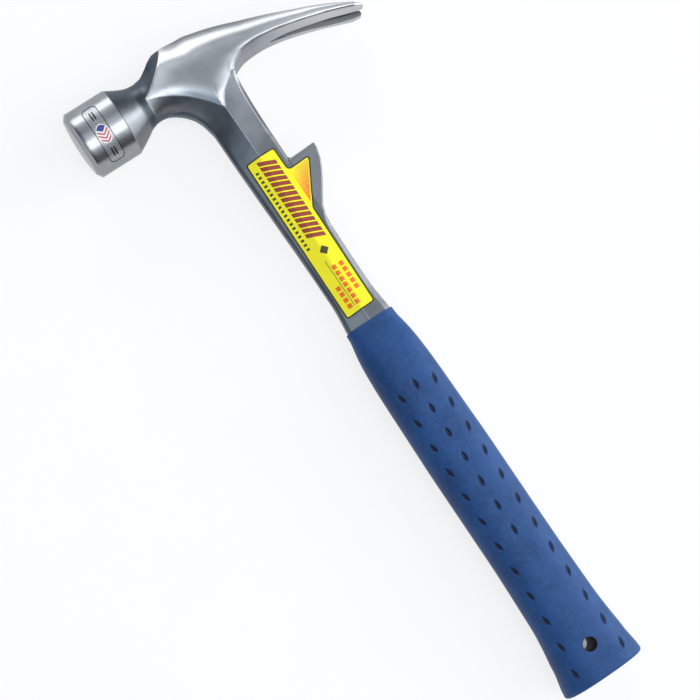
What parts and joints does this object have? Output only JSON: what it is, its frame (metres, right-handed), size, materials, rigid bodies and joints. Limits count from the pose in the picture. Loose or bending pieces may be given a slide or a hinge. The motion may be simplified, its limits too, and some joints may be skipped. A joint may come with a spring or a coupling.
{
  "type": "framing hammer",
  "caption": "One-piece forged framing hammer with a crowned bell, ripping claw, side tooth on the neck and a moulded dimpled grip with a lanyard hole.",
  "frame": {"origin": "middle of the box's underside, with the hammer lying on its side", "axes": "+Z through the hammer's thickness, up from the surface it lies on; +Y along the handle towards the head; +X along the bell's axis from the striking face to the claw"},
  "size_m": [0.1694, 0.4052, 0.0392],
  "materials": {
    "steel": "ground and polished steel, darker as-forged flanks",
    "grip": "fine-grained matt moulded grip",
    "label_film": "printed film",
    "clear_film": "clear film with a thin printed outline"
  },
  "bodies": {
    "root": {"forging": "steel", "grip": "grip", "neck_label": "label_film", "bell_label": "clear_film"}
  },
  "joints": []
}
